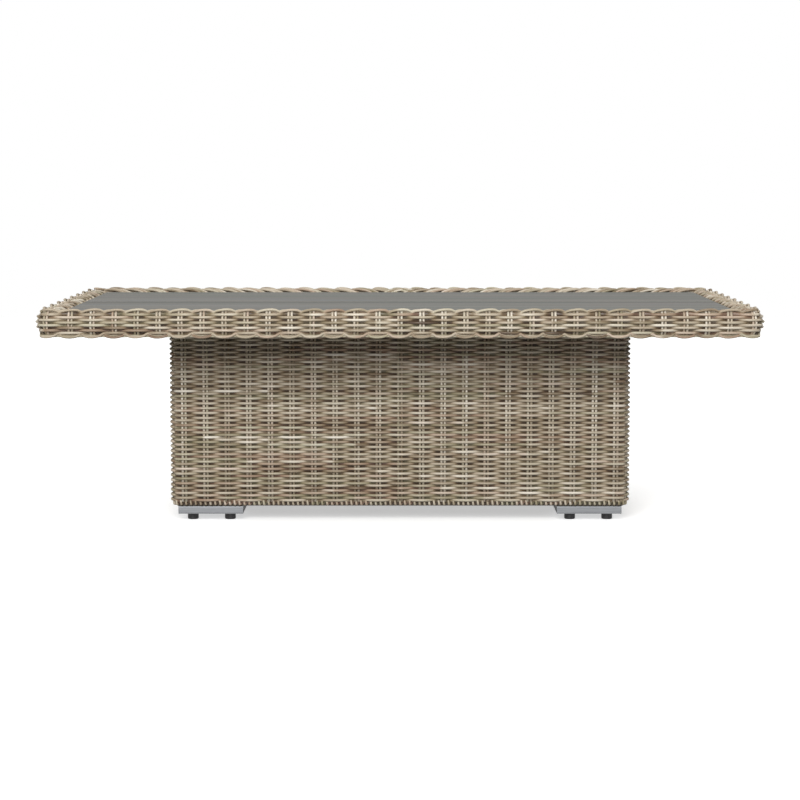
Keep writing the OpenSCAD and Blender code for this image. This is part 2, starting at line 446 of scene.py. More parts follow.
# Aluminium tube with a baked powder coat: a matt brown-grey with a fine orange-peel texture
COATED_TUBE = PlainFinish(
    "powder_coated_tube", "#4A4238", "#574E43", 0.0, (0.55, 0.68), 1.5, 0.15, SurfaceWork.GRAINED
)
# Moulded polypropylene, spark-eroded mould: near-black with a dull, slightly uneven sheen
MOULDED_PAD = PlainFinish(
    "moulded_black_polypropylene", "#121213", "#1A1A1C", 0.0, (0.42, 0.55), 0.8, 0.08,
    SurfaceWork.GRAINED,
)
# Zinc-plated, turned steel: a bright grey with small cloudy spots
ZINC_STEEL = PlainFinish(
    "zinc_plated_steel", "#B5B6B2", "#C9C9C4", 1.0, (0.28, 0.4), 2.0, 0.05, SurfaceWork.GRAINED
)


# ---- Strands ----


@dataclass(frozen=True)
class Track:
    """A rectangle with round corners in plan, run anticlockwise from the middle of the front.

    half_x, half_y and corner are the half length, the half width and the corner radius of the line
    on which the stakes stand.
    """

    half_x: float
    half_y: float
    corner: float

    @property
    def straight(self) -> float:
        """Length from the middle of the front to the start of the corner."""
        return self.half_x - self.corner

    @property
    def arc(self) -> float:
        """Length of one corner."""
        return self.corner * math.pi / 2

    @property
    def quarter(self) -> float:
        """Length from the middle of the front to the middle of the right side."""
        return self.straight + self.arc + self.half_y - self.corner

    @property
    def corners(self) -> np.ndarray:
        """Runs at the middles of the four corners, from the front right one on."""
        first = self.straight + self.arc / 2
        q = self.quarter
        return np.array([first, 2 * q - first, 2 * q + first, 4 * q - first])

    def place(self, run: np.ndarray, out: np.ndarray) -> tuple[np.ndarray, np.ndarray]:
        """Find points beside the track.

        The first quarter is a straight, then a circle arc whose angle is the length gone round it over
        its radius, then a straight. The other quarters are its mirror images. A point stands off the
        track along the outward normal.

        Args:
            run: lengths along the track.
            out: how far outside the track each point is.

        Returns:
            Points and outward normals, both with x and y last.
        """
        run, out = np.broadcast_arrays(run, out)
        turn = np.mod(run, 4 * self.quarter)
        part = np.minimum((turn // self.quarter).astype(int), 3)
        local = turn - part * self.quarter
        local = np.where(part % 2 == 1, self.quarter - local, local)
        angle = np.clip((local - self.straight) / self.corner, 0.0, math.pi / 2)
        normal = np.stack([np.sin(angle), -np.cos(angle)], axis=-1)
        middle = np.stack(
            [
                np.minimum(local, self.straight),
                -(self.half_y - self.corner) + np.maximum(local - self.straight - self.arc, 0.0),
            ],
            axis=-1,
        )
        flip = np.array([[1, 1], [1, -1], [-1, -1], [-1, 1]])[part]
        point = (middle + (self.corner + out)[..., None] * normal) * flip
        return point, normal * flip


def even_places(track: Track, pitch: float, count: int, side: Sequence[float]) -> np.ndarray:
    """Place the stake pairs round a track, the same in every quarter.

    The front has one pair in the middle and count more each way, a pitch apart.

    Args:
        track: the line on which the stakes stand.
        pitch: distance between pairs on the long sides.
        count: pairs from the middle of a long side to its end, without the middle one.
        side: distances of the other pairs of a quarter from the middle of the short side.

    Returns:
        The pairs' runs round the whole track, in order.
    """
    quarter = track.quarter
    first = np.concatenate([np.arange(count + 1) * pitch, quarter - np.asarray(side)])
    runs = np.concatenate([first, 2 * quarter - first, 2 * quarter + first, 4 * quarter - first])
    runs = np.unique(np.round(np.mod(runs, 4 * quarter), 7))
    return runs[runs < 4 * quarter - 1e-6]


class StrandBundle:
    """Tubes that are gathered into one mesh, with the attributes that their finish reads."""

    def __init__(self, seed: int, sides: int = 8) -> None:
        """Start an empty bundle.

        Args:
            seed: start of the bundle's own random numbers.
            sides: corners of a strand's section.
        """
        self.random = np.random.default_rng(seed)
        self.sides = sides
        self.points: list[np.ndarray] = []
        self.grains: list[np.ndarray] = []
        self.tones: list[np.ndarray] = []
        self.tints: list[np.ndarray] = []
        self.quads: list[np.ndarray] = []
        self.caps: list[np.ndarray] = []
        self.used = 0

    def add(
        self,
        paths: np.ndarray,
        radius: float,
        hint: np.ndarray,
        closed: bool = False,
        looks: np.ndarray | None = None,
        tall: np.ndarray | float = 1.0,
    ) -> None:
        """Carry a circle or an upright ellipse along each path.

        A ring stands square to the path: its first axis is the tangent crossed with the hint, and its
        second is the first crossed with the tangent. Ring corner k is at the angle 2 pi k / sides.

        Args:
            paths: centre lines, with strands first, stations next and x, y, z last.
            radius: radius of the strand.
            hint: a direction that is never along the path, which broadcasts with paths.
            closed: whether each path joins up with its own start.
            looks: tone and tint, which come first, of each strand or of each of its stations. They are
                random for each strand if not given.
            tall: how many times taller than wide the section is, for each station.
        """
        strands, stations, _ = paths.shape
        if closed:
            ahead, behind = np.roll(paths, -1, axis=1), np.roll(paths, 1, axis=1)
        else:
            ahead = np.concatenate([paths[:, 1:], paths[:, -1:]], axis=1)
            behind = np.concatenate([paths[:, :1], paths[:, :-1]], axis=1)
        tangent = unit(ahead - behind)
        across = unit(np.cross(tangent, np.broadcast_to(hint, paths.shape)))
        up = np.cross(across, tangent)
        angle = np.arange(self.sides) * (2 * math.pi / self.sides)
        ring = (
            across[:, :, None, :] * np.cos(angle)[:, None] + up[:, :, None, :] * np.sin(angle)[:, None]
        )
        height = np.broadcast_to(tall, (strands, stations))[:, :, None, None]
        ring = ring + up[:, :, None, :] * np.sin(angle)[:, None] * (height - 1.0)
        points = paths[:, :, None, :] + radius * ring
        steps = np.linalg.norm(np.diff(paths, axis=1), axis=-1)
        run = np.concatenate([np.zeros((strands, 1)), np.cumsum(steps, axis=1)], axis=1)
        # A strand's own start keeps its streaks from lining up with its neighbour's
        start = self.random.uniform(0.0, 50.0, (strands, 1))
        grain = np.empty(points.shape)
        grain[..., 0] = (run + start)[:, :, None]
        grain[..., 1] = radius * np.cos(angle)
        grain[..., 2] = radius * np.sin(angle)
        if looks is None:
            looks = self.new_looks((strands, 1))
        looks = np.broadcast_to(looks, (2, strands, stations))
        each = stations * self.sides
        index = self.used + np.arange(strands * each).reshape(strands, stations, self.sides)
        after = np.roll(index, -1, axis=1) if closed else index[:, 1:]
        first = index if closed else index[:, :-1]
        quads = np.stack(
            [first, np.roll(first, -1, axis=2), np.roll(after, -1, axis=2), after], axis=-1
        )
        self.points.append(points.reshape(-1, 3))
        self.grains.append(grain.reshape(-1, 3))
        self.tones.append(np.repeat(looks[0].ravel(), self.sides))
        self.tints.append(np.repeat(looks[1].ravel(), self.sides))
        self.quads.append(quads.reshape(-1, 4))
        if not closed:
            self.caps.append(index[:, 0, ::-1])
            self.caps.append(index[:, -1, :])
        self.used += strands * each

    def new_looks(self, shape: tuple[int, int]) -> np.ndarray:
        """Draw random tones and tints.

        Args:
            shape: number of strands and of pieces in each.

        Returns:
            Tones round 0.5 and tints from 0 to 1, with tone and tint first.
        """
        tones = self.random.normal(0.5, 0.15, shape)
        return np.stack([tones, self.random.uniform(0.0, 1.0, shape)])

    def build(self, name: str, material: bpy.types.Material) -> bpy.types.Object:
        """Make the bundle one object.

        Args:
            name: the object's name.
            material: the strands' finish.

        Returns:
            The new object.
        """
        points = np.concatenate(self.points)
        quads = np.concatenate(self.quads)
        caps = np.concatenate(self.caps) if self.caps else np.empty((0, self.sides), int)
        corners = np.concatenate([quads.ravel(), caps.ravel()]).astype(np.int32)
        starts = np.concatenate(
            [np.arange(len(quads)) * 4, quads.size + np.arange(len(caps)) * self.sides]
        ).astype(np.int32)
        mesh = bpy.data.meshes.new(name)
        mesh.vertices.add(len(points))
        mesh.vertices.foreach_set("co", points.ravel().astype(np.float32))
        mesh.loops.add(len(corners))
        mesh.loops.foreach_set("vertex_index", corners)
        mesh.polygons.add(len(starts))
        mesh.polygons.foreach_set("loop_start", starts)
        mesh.update(calc_edges=True)
        mesh.polygons.foreach_set("use_smooth", np.ones(len(starts), bool))
        grain = mesh.attributes.new("grain", "FLOAT_VECTOR", "POINT")
        grain.data.foreach_set("vector", np.concatenate(self.grains).ravel().astype(np.float32))
        for label, values in (("tone", self.tones), ("tint", self.tints)):
            attribute = mesh.attributes.new(label, "FLOAT", "POINT")
            attribute.data.foreach_set("value", np.concatenate(values).astype(np.float32))
        mesh.validate()
        mesh.materials.append(material)
        obj = bpy.data.objects.new(name, mesh)
        bpy.context.scene.collection.objects.link(obj)
        return obj


def unit(vectors: np.ndarray) -> np.ndarray:
    """Scale vectors, x y z last, to length 1."""
    return vectors / np.linalg.norm(vectors, axis=-1, keepdims=True)


def raised(plan: np.ndarray, height: np.ndarray | float) -> np.ndarray:
    """Join plan points, x and y last, with their heights."""
    return np.concatenate([plan, np.broadcast_to(height, plan.shape[:-1])[..., None]], axis=-1)


@dataclass
class Weave:
    """Plain weave on a track: rows of strands that pass in front of and behind pairs of stakes.

    steps is the number of rings from one pair to the next. row_height is how many times taller than
    wide a row is, and swell is what is added to that behind the stakes. sway is how far a row strays
    up or down. The tones are added to the strands' random ones: the one for the parts of a row behind
    the stakes is painted shade, and the stakes' one is painted light, for the light that they catch
    between the rows.
    """

    track: Track
    places: np.ndarray
    strand: float = 4.9 * MM
    stake: float = 5.0 * MM
    pair_gap: float = 6.7 * MM
    swing: float = 4.75 * MM
    stake_out: float = 0.6 * MM
    steps: int = 6
    least_step: float = 0.5 * MM
    row_height: float = 1.08
    swell: float = 1.3
    sway: float = 0.1 * MM
    row_tone_lift: float = 0.07
    # Painted shade on the parts of a row that pass behind the stakes
    painted_shade_tone: float = -0.5
    # Painted light on the stakes, for the light that they catch between the rows
    stake_painted_light: float = 0.2

    def phase(self, run: np.ndarray) -> np.ndarray:
        """Count half turns of the weave: pi at each stake pair more than at the one before it.

        Args:
            run: lengths along the track.

        Returns:
            The phase at each of them.
        """
        length = 4 * self.track.quarter
        count = len(self.places)
        known = np.concatenate([[self.places[-1] - length], self.places, [length]])
        index = np.concatenate([[-1], np.arange(count), [count]])
        return np.pi * np.interp(np.mod(run, length), known, index)

    def stations(self, start: float, end: float) -> np.ndarray:
        """List the runs of a strand's rings between two places on the track.

        Args:
            start: first run.
            end: last run, more than start.

        Returns:
            The runs, with both ends.
        """
        length = 4 * self.track.quarter
        known = np.concatenate([self.places - length, self.places, self.places + length])
        part = np.arange(self.steps) / self.steps
        fine = (known[:-1, None] + np.diff(known)[:, None] * part).ravel()
        inside = fine[(fine > start + self.least_step) & (fine < end - self.least_step)]
        return np.concatenate([[start], inside, [end]])

    def wave(self, run: np.ndarray, odd: np.ndarray) -> np.ndarray:
        """Find how far each strand stands in front of the stakes.

        It is the swing times a cosine of the phase that is flattened at its tops: w (1.3 - 0.3 w w).

        Args:
            run: lengths along the track.
            odd: half turns to add for each strand, which is 1 for a strand that is behind where its
                neighbour is in front.

        Returns:
            Distances, with strands first and runs next.
        """
        w = np.cos(self.phase(run)[None, :] + np.pi * odd[:, None])
        return self.swing * w * (1.3 - 0.3 * w * w)

    def add_rows(
        self, bundle: StrandBundle, run: np.ndarray, heights: np.ndarray, lean: np.ndarray, odd: np.ndarray
    ) -> None:
        """Add the rows of a stretch of wall.

        Args:
            bundle: where the strands go.
            run: the rows' stations.
            heights: height of each row.
            lean: how far each row's middle stands outside the track.
            odd: half turns to add for each row.
        """
        wave = self.wave(run, odd)
        plan, _ = self.track.place(run[None, :], wave + lean[:, None])
        # Hand weaving leaves each row a little up or down between one pair and the next
        knots = bundle.random.normal(0.0, self.sway, (len(heights), max(len(run) // 9, 2)))
        ends = np.linspace(run[0], run[-1], knots.shape[1])
        knots[:, 0] = knots[:, -1] = 0.0
        sway = np.stack([np.interp(run, ends, row) for row in knots])
        paths = raised(plan, heights[:, None] + sway)
        # Behind the stakes a strand swells to close the gap between the rows in front
        front = wave / self.swing
        tall = self.row_height + self.swell * np.clip(-front, 0.0, 1.0)
        looks = self.pieced_looks(bundle, run, len(heights))
        # Every row's tone is lifted a little, and painted shade darkens the parts that pass behind the
        # stakes
        looks[0] += self.row_tone_lift + self.painted_shade_tone * np.clip(0.3 - front, 0.0, 1.0)
        bundle.add(paths, self.strand / 2, UP, looks=looks, tall=tall)

    def pieced_looks(self, bundle: StrandBundle, run: np.ndarray, rows: int) -> np.ndarray:
        """Colour rows in pieces, because a new length of strand is joined in every few pairs.

        Args:
            bundle: whose random numbers are used.
            run: lengths along the track.
            rows: number of rows.

        Returns:
            Tone and tint first, rows next and runs last.
        """
        pair = self.phase(run) / np.pi
        piece_length = bundle.random.integers(3, 9, rows)[:, None]
        piece = (pair[None, :] + bundle.random.integers(0, 9, rows)[:, None]) // piece_length
        piece = piece.astype(int)
        looks = bundle.new_looks((rows, piece.max() + 1))
        return np.take_along_axis(looks, np.broadcast_to(piece, (2,) + piece.shape), axis=2)

    def add_stakes(
        self, bundle: StrandBundle, pairs: np.ndarray, heights: np.ndarray, lean: np.ndarray
    ) -> None:
        """Add both stakes of each pair.

        Args:
            bundle: where the strands go.
            pairs: runs of the pairs.
            heights: heights of a stake's stations.
            lean: how far each station stands outside the track.
        """
        runs = (pairs[:, None] + np.array([-0.5, 0.5]) * self.pair_gap).ravel()
        plan, normal = self.track.place(runs[:, None], lean[None, :] + self.stake_out)
        hint = np.concatenate([normal, np.zeros(normal.shape[:-1] + (1,))], axis=-1)
        looks = bundle.new_looks((len(runs), 1))
        # Painted light: the stakes are made lighter, for the light that they catch between the rows
        looks[0] += self.stake_painted_light
        bundle.add(raised(plan, heights[None, :]), self.stake / 2, hint, looks=looks)


class Wall(Enum):
    """The four sides of the table, with the corners between which each one runs."""

    FRONT = ("front", 3, 0)
    RIGHT = ("right", 0, 1)
    BACK = ("back", 1, 2)
    LEFT = ("left", 2, 3)

    @property
    def label(self) -> str:
        """The side's name in the frame's nodes."""
        return self.value[0]

    def reach(self, track: Track) -> tuple[float, float]:
        """Find where this side starts and ends on a track.

        Args:
            track: the track round the table.

        Returns:
            The first and the last run, the first of them negative for the front.
        """
        start, end = track.corners[self.value[1]], track.corners[self.value[2]]
        return (start - 4 * track.quarter if start > end else start), end

    def pairs(self, weave: Weave) -> np.ndarray:
        """List the stake pairs on this side, as runs.

        Args:
            weave: the weave with the stake pairs of the whole track.

        Returns:
            The side's pairs.
        """
        start, end = self.reach(weave.track)
        length = 4 * weave.track.quarter
        runs = np.where(weave.places > end, weave.places - length, weave.places)
        return runs[(runs > start) & (runs < end)]


# ---- The woven base ----


@dataclass
class WovenBase:
    """The woven box under the top, with its wrapped lower edge."""

    wicker: bpy.types.Material
    pair_pitch: float = 43.2 * MM
    pairs_each_way: int = 10
    side_pitch: float = 41.0 * MM
    side_pairs: int = 5
    first_row: float = -1.0 * MM
    row_pitch: float = 4.885 * MM
    stake_tail: float = 4.0 * MM
    corner: float = 13.0 * MM
    edge_turn: float = 9.76 * MM
    edge_strand: float = 4.6 * MM
    edge_thick: float = 9.0 * MM
    edge_rings: int = 12
    weave: Weave = field(init=False)

    def __post_init__(self) -> None:
        """Take the base's track from the frame's woven walls."""
        low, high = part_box("base_weave_front")
        _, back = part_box("base_weave_back")
        inset = Weave.swing + Weave.strand / 2
        track = Track(high.x - inset, back.y - inset, self.corner)
        side = np.arange(self.side_pairs) * self.side_pitch
        places = even_places(track, self.pair_pitch, self.pairs_each_way, side)
        self.weave = Weave(track, places)
        self.bottom, self.top = low.z, high.z

    def build(self) -> None:
        """Build the four walls and the lower edge."""
        for seed, wall in enumerate(Wall):
            self.build_wall(wall, seed)
        self.build_edge()

    def build_wall(self, wall: Wall, seed: int) -> None:
        """Build the rows and stakes of one wall.

        Args:
            wall: which side.
            seed: start of its random numbers.
        """
        bundle = StrandBundle(seed + 11)
        run = self.weave.stations(*wall.reach(self.weave.track))
        last = self.top - self.weave.strand / 2
        heights = np.arange(self.bottom + self.first_row, last, self.row_pitch)
        rows = np.arange(len(heights))
        self.weave.add_rows(bundle, run, heights, np.zeros(len(rows)), rows + 1)
        stake_heights = np.linspace(self.bottom - self.stake_tail, self.top, 3)
        self.weave.add_stakes(bundle, wall.pairs(self.weave), stake_heights, np.zeros(3))
        piece = bundle.build(f"base_{wall.label}_strands", self.wicker)
        mount(piece, "wicker", f"base_weave_{wall.label}")

    def build_edge(self) -> None:
        """Wrap a strand round the lower edge.

        The wrap is a flat helix. Its angle t grows evenly, out is a flattened cosine of t, which is the
        hyperbolic tangent of 2.5 cos t, and height is a falling sine of t. Along the edge it goes by
        the pitch over 2 pi times (t - 0.8 sin t), so that it is nearly upright in front and leans at
        the back.
        """
        low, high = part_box("base_edge_binding")
        track = self.weave.track
        length = 4 * track.quarter
        turns = round(length / self.edge_turn)
        angle = np.arange(turns * self.edge_rings) * (2 * math.pi / self.edge_rings)
        run = (angle - 0.8 * np.sin(angle)) * (length / turns / (2 * math.pi))
        thick = self.edge_thick - self.edge_strand
        inset = track.half_x - high.x + self.edge_thick / 2
        out = -inset + thick / 2 * np.tanh(2.5 * np.cos(angle))
        middle = (low.z + high.z) / 2
        rise = -(high.z - low.z - self.edge_strand) / 2 * np.sin(angle)
        plan, normal = track.place(run, out)
        along = np.stack([-normal[:, 1], normal[:, 0], np.zeros(len(run))], axis=-1)
        bundle = StrandBundle(31)
        # The tone changes every third turn; painted light makes the outer part of each turn lighter and
        # painted shade makes the inner part darker
        piece = np.arange(len(run)) // (3 * self.edge_rings)
        looks = bundle.new_looks((1, turns // 3 + 1))[:, :, piece]
        looks[0] -= 0.3 - 0.4 * np.tanh(2.0 * np.cos(angle))
        bundle.add(
            raised(plan, middle + rise)[None], self.edge_strand / 2, along, closed=True, looks=looks
        )
        piece = bundle.build("base_edge_wrap", self.wicker)
        mount(piece, "wicker", "base_edge_binding")


# ---- The woven rim ----


@dataclass(frozen=True)
class Twist:
    """Two strands twisted along an edge: the first is in front at even stake pairs, the other at odd.

    heights are the strands' middle heights over the rim's lower edge. arch is half of how much higher
    a strand is in front of the stakes than between them, and negative for one that hangs. cross is how
    far the strands pass above and below each other. outs is how far each stands outside the band's own
    lean, and swing is how wide the twist is against the rows.
    """

    heights: tuple[float, float]
    arch: float
    cross: float
    outs: tuple[float, float]
    swing: float


@dataclass(frozen=True)
class BraidGroup:
    """Three strands of the border that lie together, and are repeated along a side.

    pitch_mm is the distance between groups. For each strand, spread_mm is where it starts, lift_mm is
    how much higher it lies, gather_mm is how much farther along the track it ends, and way is its
    share of the side's slant, which is negative for one that goes back over the others. sink_mm is how
    much lower the whole border lies than at the back.
    """

    pitch_mm: float
    spread_mm: tuple[float, float, float]
    lift_mm: tuple[float, float, float]
    gather_mm: tuple[float, float, float]
    way: tuple[float, float, float]
    sink_mm: float


@dataclass
class WovenRim:
    """The woven band round the top, with its twisted edges, and the braided border over it.

    Names with under_ size the lengthwise strands under the rail, and those with lay_ the ones over it
    and beside it. lay_mm holds how far in and how far below the rim's top each of these lies.
    braid_line holds points of a braid strand: millimetres in, millimetres below the rim's top, and the
    part of its slant that it has gone by then.
    """

    wicker: bpy.types.Material
    pair_pitch: float = 41.9 * MM
    pair_gap: float = 6.2 * MM
    stake: float = 4.6 * MM
    pairs_each_way: int = 15
    corner_pair: float = 676.0 * MM
    side_pitch: float = 46.9 * MM
    side_pairs: int = 8
    first_row: float = 9.6 * MM
    row_pitch: float = 4.957 * MM
    rows: int = 8
    outer_corner: float = 32.0 * MM
    bulge: float = 17.0 * MM
    stake_ends: tuple[float, float] = (2.5 * MM, 51.5 * MM)
    under_first: float = 7.5 * MM
    under_width: float = 35.0 * MM
    under_pitch: float = 5.2 * MM
    under_height: float = 3.2 * MM
    under_swing: float = 0.5 * MM
    under_strand: float = 4.6 * MM
    lay_mm: tuple[tuple[float, float], ...] = ((11.5, 11.0), (17.0, 11.0), (39.5, 19.2))
    lay_strand: float = 4.8 * MM
    braid_strand: float = 5.0 * MM
    braid_slant: float = 50.0 * MM
    braid_end: float = 12.0 * MM
    braid_room: float = 14.0 * MM
    braid_uneven: float = 0.9 * MM
    braid_line: tuple[tuple[float, float, float], ...] = (
        (13.5, 15.5, 0.0),
        (14.0, 10.5, 0.01),
        (15.2, 7.5, 0.05),
        (17.2, 5.6, 0.12),
        (20.0, 4.9, 0.22),
        (23.5, 5.0, 0.36),
        (27.5, 5.7, 0.54),
        (32.0, 7.2, 0.72),
        (36.0, 9.3, 0.87),
        (38.6, 11.6, 0.97),
        (39.8, 15.0, 1.0),
    )
    long_group: BraidGroup = BraidGroup(
        41.9, (-9.5, -1.5, 6.5), (-0.6, 0.6, -0.2), (0.0, 0.0, 0.0), (1.0, 1.0, 1.0), 2.7
    )
    short_group: BraidGroup = BraidGroup(
        46.9, (-5.0, 2.0, 17.0), (-0.6, 0.6, 1.4), (2.5, -1.0, 0.0), (1.0, 1.0, -0.6), 4.0
    )
    top_twist: Twist = Twist(
        (51.2 * MM, 50.4 * MM), 2.6 * MM, 1.2 * MM, (2.8 * MM, 1.2 * MM), 0.9
    )
    end_twist: Twist = Twist(
        (49.0 * MM, 45.6 * MM), 3.5 * MM, 0.3 * MM, (1.0 * MM, -3.4 * MM), 1.2
    )
    bottom_twist: Twist = Twist(
        (4.8 * MM, 4.2 * MM), -3.2 * MM, 0.6 * MM, (6.6 * MM, 4.8 * MM), 0.9
    )
    weave: Weave = field(init=False)

    def __post_init__(self) -> None:
        """Take the rim's track from the frame's rim."""
        low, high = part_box("rim_weave_front")
        _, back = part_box("rim_weave_back")
        _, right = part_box("rim_weave_right")
        inset = Weave.swing + Weave.strand / 2
        track = Track(right.x - inset, back.y - inset, self.outer_corner - inset)
        side = (np.arange(self.side_pairs) + 0.5) * self.side_pitch
        side = np.append(side, track.quarter - self.corner_pair)
        places = even_places(track, self.pair_pitch, self.pairs_each_way, side)
        self.weave = Weave(track, places, pair_gap=self.pair_gap, stake=self.stake)
        self.bottom, self.top = low.z, high.z

    def lean(self, heights: np.ndarray) -> np.ndarray:
        """Find how far the band stands in at a height.

        It is a parabola that is 0 at mid height and the bulge at both edges.

        Args:
            heights: heights above the floor.

        Returns:
            How far outside the track each one is, 0 or less.
        """
        middle, half = (self.bottom + self.top) / 2, (self.top - self.bottom) / 2
        return -self.bulge * ((heights - middle) / half) ** 2

    def build(self) -> None:
        """Build the four sides and the border."""
        for seed, wall in enumerate(Wall):
            self.build_side(wall, seed)
        self.build_border()

    def build_side(self, wall: Wall, seed: int) -> None:
        """Build the band, its twisted edges and the strands under the rail on one side.

        Args:
            wall: which side.
            seed: start of its random numbers.
        """
        bundle = StrandBundle(seed + 51)
        run = self.weave.stations(*wall.reach(self.weave.track))
        heights = self.bottom + self.first_row + np.arange(self.rows) * self.row_pitch
        odd = np.arange(self.rows) + 1
        self.weave.add_rows(bundle, run, heights, self.lean(heights), odd)
        stake_heights = self.bottom + np.linspace(*self.stake_ends, 10)
        pairs = wall.pairs(self.weave)
        self.weave.add_stakes(bundle, pairs, stake_heights, self.lean(stake_heights))
        short = wall in (Wall.LEFT, Wall.RIGHT)
        self.add_twist(bundle, run, self.end_twist if short else self.top_twist)
        self.add_twist(bundle, run, self.bottom_twist)
        self.add_underside(bundle, run)
        piece = bundle.build(f"rim_{wall.label}_strands", self.wicker)
        mount(piece, "wicker", f"rim_weave_{wall.label}")

    def add_twist(self, bundle: StrandBundle, run: np.ndarray, twist: Twist) -> None:
        """Add two strands that twist round each other along an edge of the band.

        Each one's height is its own middle height, plus the arch times its bump, plus the crossing
        height times the sine of its phase. The bump is twice the square root of the size of the
        phase's cosine, less 1, so its crests are broad and its valleys sharp. The root is halved where
        the strand passes behind.

        Args:
            bundle: where the strands go.
            run: the strands' stations.
            twist: the sizes of the twist.
        """
        odd = np.array([0.0, 1.0])
        phase = self.weave.phase(run)[None, :] + np.pi * odd[:, None]
        middle = self.bottom + np.array(twist.heights)
        turned = np.cos(phase)
        bump = 2 * np.sqrt(np.abs(turned)) * np.where(turned < 0, 0.5, 1.0) - 1
        rise = middle[:, None] + twist.arch * bump + twist.cross * np.sin(phase)
        out = self.weave.wave(run, odd) * twist.swing
        out = out + (self.lean(middle) + np.array(twist.outs))[:, None]
        plan, _ = self.weave.track.place(run[None, :], out)
        looks = self.weave.pieced_looks(bundle, run, 2)
        bundle.add(raised(plan, rise), self.weave.strand / 2, UP, looks=looks)

    def add_underside(self, bundle: StrandBundle, run: np.ndarray) -> None:
        """Add lengthwise strands under the rail, which lift a little over every other stake pair.

        Args:
            bundle: where the strands go.
            run: the band's stations, which are cut off square at the inner corners.
        """
        lays = -(self.under_first + np.arange(0.0, self.under_width, self.under_pitch))
        odd = np.arange(len(lays)) % 2
        phase = self.weave.phase(run)[None, :] + np.pi * odd[:, None]
        rise = self.bottom + self.under_height + self.under_swing * np.cos(phase)
        plan = self.square_plan(run, lays)
        bundle.add(raised(plan, rise), self.under_strand / 2, UP)

    def square_plan(self, run: np.ndarray, lays: np.ndarray) -> np.ndarray:
        """Lay lines beside the track that meet the next side's lines on the corners' diagonals.

        Near a corner the track's own arc would fold over itself, so the lines run straight on, and
        their lengths are scaled to end on the diagonal.

        Args:
            run: stations of one side, from corner to corner.
            lays: how far outside the track each line is, all negative.

        Returns:
            Plan points, with lines first and stations next.
        """
        track = self.weave.track
        middle = (run[0] + run[-1]) / 2
        centre, normal = track.place(np.array([middle]), np.zeros(1))
        along = np.array([-normal[0, 1], normal[0, 0]])
        half = abs(np.dot([track.half_x, track.half_y], along))
        part = (run - middle) / (run[-1] - middle)
        reach = (half + lays)[:, None] * part[None, :]
        return centre[0] + reach[..., None] * along + lays[:, None, None] * normal[0]

    def build_border(self) -> None:
        """Build the lengthwise strands by the rail, and the braid that slants across them."""
        bundle = StrandBundle(71)
        inward, drop = np.array(self.lay_mm).T * MM
        for wall in Wall:
            run = self.weave.stations(*wall.reach(self.weave.track))[::3]
            plan = self.square_plan(run, -inward)
            bundle.add(raised(plan, self.top - drop[:, None]), self.lay_strand / 2, UP)
            self.add_braid(bundle, wall)
        piece = bundle.build("rim_border_braid", self.wicker)
        mount(piece, "wicker", "border_braid")

    def add_braid(self, bundle: StrandBundle, wall: Wall) -> None:
        """Lay groups of three strands over the rail, slantwise, from the band down to the boards.

        A strand rises out of the band, is highest near the outside, and falls towards the boards. On
        the long sides it slants towards the middle. On the short sides two strands of a group slant
        towards the front and the third one back over them. Next to a corner the slant gets less, so
        that the strand stays on its own side.

        Args:
            bundle: where the strands go.
            wall: which side.
        """
        group = self.short_group if wall in (Wall.LEFT, Wall.RIGHT) else self.long_group
        inward, drop, turn = np.array(self.braid_line).T * np.array([[MM], [MM], [1.0]])
        start, end = wall.reach(self.weave.track)
        middle, half = (start + end) / 2, (end - start) / 2 - self.braid_end
        count = 2 * round(half / (group.pitch_mm * MM))
        firsts = middle + (np.arange(count) + 0.5 - count / 2) * (2 * half / count)
        runs = (firsts[:, None] + np.array(group.spread_mm) * MM).ravel()
        sink = 0.0 if wall is Wall.BACK else group.sink_mm * MM
        lift = np.tile(group.lift_mm, count) * MM - sink
        lift = lift + np.repeat(np.arange(count) % 3 == 0, 3) * self.braid_uneven
        if wall is Wall.RIGHT:
            slope = np.full(len(runs), -1.0)
        elif wall is Wall.LEFT:
            slope = np.full(len(runs), 1.0)
        else:
            slope = np.where(runs > middle, -1.0, 1.0)
        way = slope * np.tile(group.way, count)
        gather = np.tile(group.gather_mm, count) * MM
        room = np.where(way < 0, runs - start, end - runs) - self.braid_room
        slant = np.clip(room, 0.0, self.braid_slant)
        plan, normal = self.weave.track.place(runs[:, None], np.zeros((1, 1)))
        along = np.stack([-normal[..., 1], normal[..., 0]], axis=-1)
        aside = (way * slant + gather)[:, None] * turn[None, :]
        line = plan - normal * inward[None, :, None] + along * aside[..., None]
        rise = self.top - drop[None, :] + lift[:, None]
        hint = unit(raised(along * inward[-1] + normal * (way * slant)[:, None, None], 0.0))
        bundle.add(raised(line, rise), self.braid_strand / 2, hint)


# ---- The rest of the table ----


def mount(piece: bpy.types.Object, slot: str, *nodes: str) -> None:
    """Fix a piece to the table in place of CAD nodes.

    Args:
        piece: the new piece.
        slot: the record's slot for its finish; not used.
        nodes: the CAD nodes that it stands for.
    """
    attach(piece, "table")
    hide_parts(*nodes)
    LOG.info("built %s with %d faces", piece.name, len(piece.data.polygons))


@dataclass
class PlainParts:
    """The CAD nodes that keep their own shape, and get a finish."""

    nodes: dict[str, bpy.types.Object]
    slots: dict[str, str]

    def dress(self, finishes: dict[str, bpy.types.Material]) -> None:
        """Give each node that is still shown the finish of its slot.

        Args:
            finishes: the material of each slot.
        """
        for name, node in self.nodes.items():
            if node.hide_render:
                continue
            node.data.materials.clear()
            node.data.materials.append(finishes[self.slots[name]])
            LOG.info("dressed %s as %s", name, self.slots[name])


# ---- Studio ----


